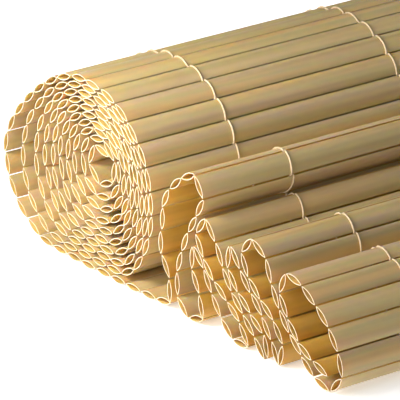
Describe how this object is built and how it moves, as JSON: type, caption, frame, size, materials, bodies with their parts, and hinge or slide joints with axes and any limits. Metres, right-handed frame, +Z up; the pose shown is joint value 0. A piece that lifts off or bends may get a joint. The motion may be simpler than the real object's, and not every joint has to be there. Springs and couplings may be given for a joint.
{
  "type": "slatted screening mat",
  "caption": "Screening mat of hollow lens-section plastic slats stitched side by side, half wound into a loose roll, with its free end gathered into upright folds.",
  "frame": {"origin": "on the floor, in the middle of the mat's box", "axes": "+Y along the slats, away from the viewer; +X from the roll to the folds; +Z up"},
  "size_m": [0.3052, 1.2088, 0.1111],
  "materials": {
    "slat": "satin"
  },
  "bodies": {
    "root": {"roll_turn_01_slats": "slat", "roll_turn_02_slats": "slat", "roll_turn_03_slats": "slat", "roll_turn_04_slats": "slat", "roll_turn_05_slats": "slat", "roll_turn_06_slats": "slat", "roll_turn_07_slats": "slat", "roll_turn_08_slats": "slat", "roll_turn_09_slats": "slat", "roll_turn_10_slats": "slat", "floor_run_slats": "slat", "fold_1_rise_slats": "slat", "fold_1_fall_slats": "slat", "fold_2_rise_slats": "slat", "fold_2_fall_slats": "slat", "fold_3_rise_slats": "slat", "fold_3_fall_slats": "slat", "fold_4_rise_slats": "slat", "fold_4_fall_slats": "slat", "fold_5_rise_slats": "slat", "fold_5_fall_slats": "slat", "fold_6_rise_slats": "slat", "fold_6_fall_slats": "slat"}
  },
  "joints": []
}
